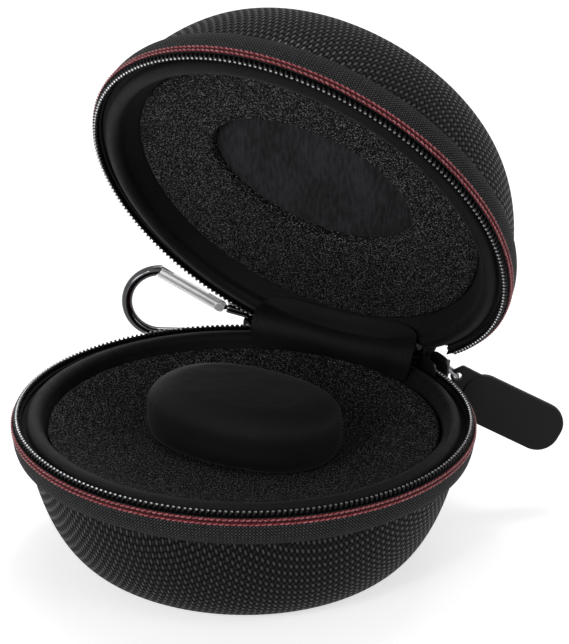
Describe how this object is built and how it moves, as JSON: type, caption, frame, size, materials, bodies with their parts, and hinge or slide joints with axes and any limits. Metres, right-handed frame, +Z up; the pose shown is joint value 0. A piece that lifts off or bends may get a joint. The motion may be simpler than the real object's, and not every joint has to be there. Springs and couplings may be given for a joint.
{
  "type": "watch travel case",
  "caption": "Round zipped travel case for one wristwatch, with a hinged lid, a foam bed and pillow inside, a zip pull and a spring clip.",
  "frame": {"origin": "centre of the base's flat foot, on the surface it stands on", "axes": "+Z up, +Y towards the hinge at the back, -Y the front, +X towards the parked zip slider"},
  "size_m": [0.1241, 0.1341, 0.1396],
  "materials": {
    "ballistic_cloth": "coarse basket-woven nylon",
    "band_cloth": "fine plain-woven tape",
    "foam_shell": null,
    "lining_cloth": "smooth short-pile knit",
    "zip_tape": "woven zip tape",
    "zip_teeth": "moulded nylon, slightly shiny",
    "red_thread": "twisted polyester thread",
    "sponge_foam": null,
    "ribbon": "narrow woven ribbon",
    "zip_metal": "black lacquered zinc",
    "link_steel": "dull steel wire",
    "velvet": "short velvet pile",
    "pull_rubber": "matt moulded rubber, left bare",
    "pillow_cloth": "soft knit over foam",
    "clip_metal": "polished",
    "gate_metal": "polished",
    "spring_steel": "drawn wire"
  },
  "bodies": {
    "base": {"base_cover": "ballistic_cloth", "base_shell": "foam_shell", "base_lining": "lining_cloth", "base_rim_band": "band_cloth", "base_zip_tape": "zip_tape", "base_zip_teeth": "zip_teeth", "base_stitching": "red_thread", "base_foam": "sponge_foam", "hinge_tape": "band_cloth", "hinge_lining": "lining_cloth", "clip_ribbon": "ribbon", "zip_stops": "zip_metal"},
    "lid": {"lid_cover": "ballistic_cloth", "lid_shell": "foam_shell", "lid_lining": "lining_cloth", "lid_rim_band": "band_cloth", "lid_zip_tape": "zip_tape", "lid_zip_teeth": "zip_teeth", "lid_stitching": "red_thread", "lid_foam": "sponge_foam", "lid_pocket_panel": "velvet"},
    "slider": {"zip_slider": "zip_metal"},
    "link": {"slider_link": "link_steel"},
    "pull": {"zip_pull": "pull_rubber"},
    "pillow": {"watch_pillow": "pillow_cloth"},
    "clip": {"clip_body": "clip_metal", "clip_rivet": "clip_metal"},
    "gate": {"clip_gate": "gate_metal", "clip_spring": "spring_steel"}
  },
  "joints": [
    {"name": "lid_hinge", "type": "hinge", "parent": "base", "child": "lid", "pos_m": [0, 0.0525, 0.04], "axis": [-1, 0, 0], "range_deg": [-57, 38], "deforming": ["hinge_tape", "hinge_lining"]},
    {"name": "zip_run", "type": "hinge", "parent": "base", "child": "slider", "pos_m": [0, 0, 0.04], "axis": [0, 0, -1], "range_deg": [0, 256]},
    {"name": "link_swing", "type": "hinge", "parent": "slider", "child": "link", "pos_m": [0.03104, 0.05487, 0.0386], "axis": [0, 0, -1], "range_deg": [-31, 29]},
    {"name": "pull_droop", "type": "hinge", "parent": "link", "child": "pull", "pos_m": [0.03344, 0.05622, 0.03629], "axis": [-0.4924, 0.8704, 0], "range_deg": [-28, 32]},
    {"name": "pillow_lift", "type": "slide", "parent": "base", "child": "pillow", "axis": [0, 0, 1], "range_m": [0, 0.035]},
    {"name": "clip_swing", "type": "hinge", "parent": "base", "child": "clip", "pos_m": [-0.03509, 0.05677, 0.0367], "axis": [0.4939, -0.8695, 0], "range_deg": [-8, 65]},
    {"name": "gate_press", "type": "hinge", "parent": "clip", "child": "gate", "pos_m": [-0.04057, 0.05366, 0.042], "axis": [0.4939, -0.8695, 0], "range_deg": [0, 22], "stiffness_Nm_per_rad": 0.02, "springref_deg": -17.19}
  ]
}
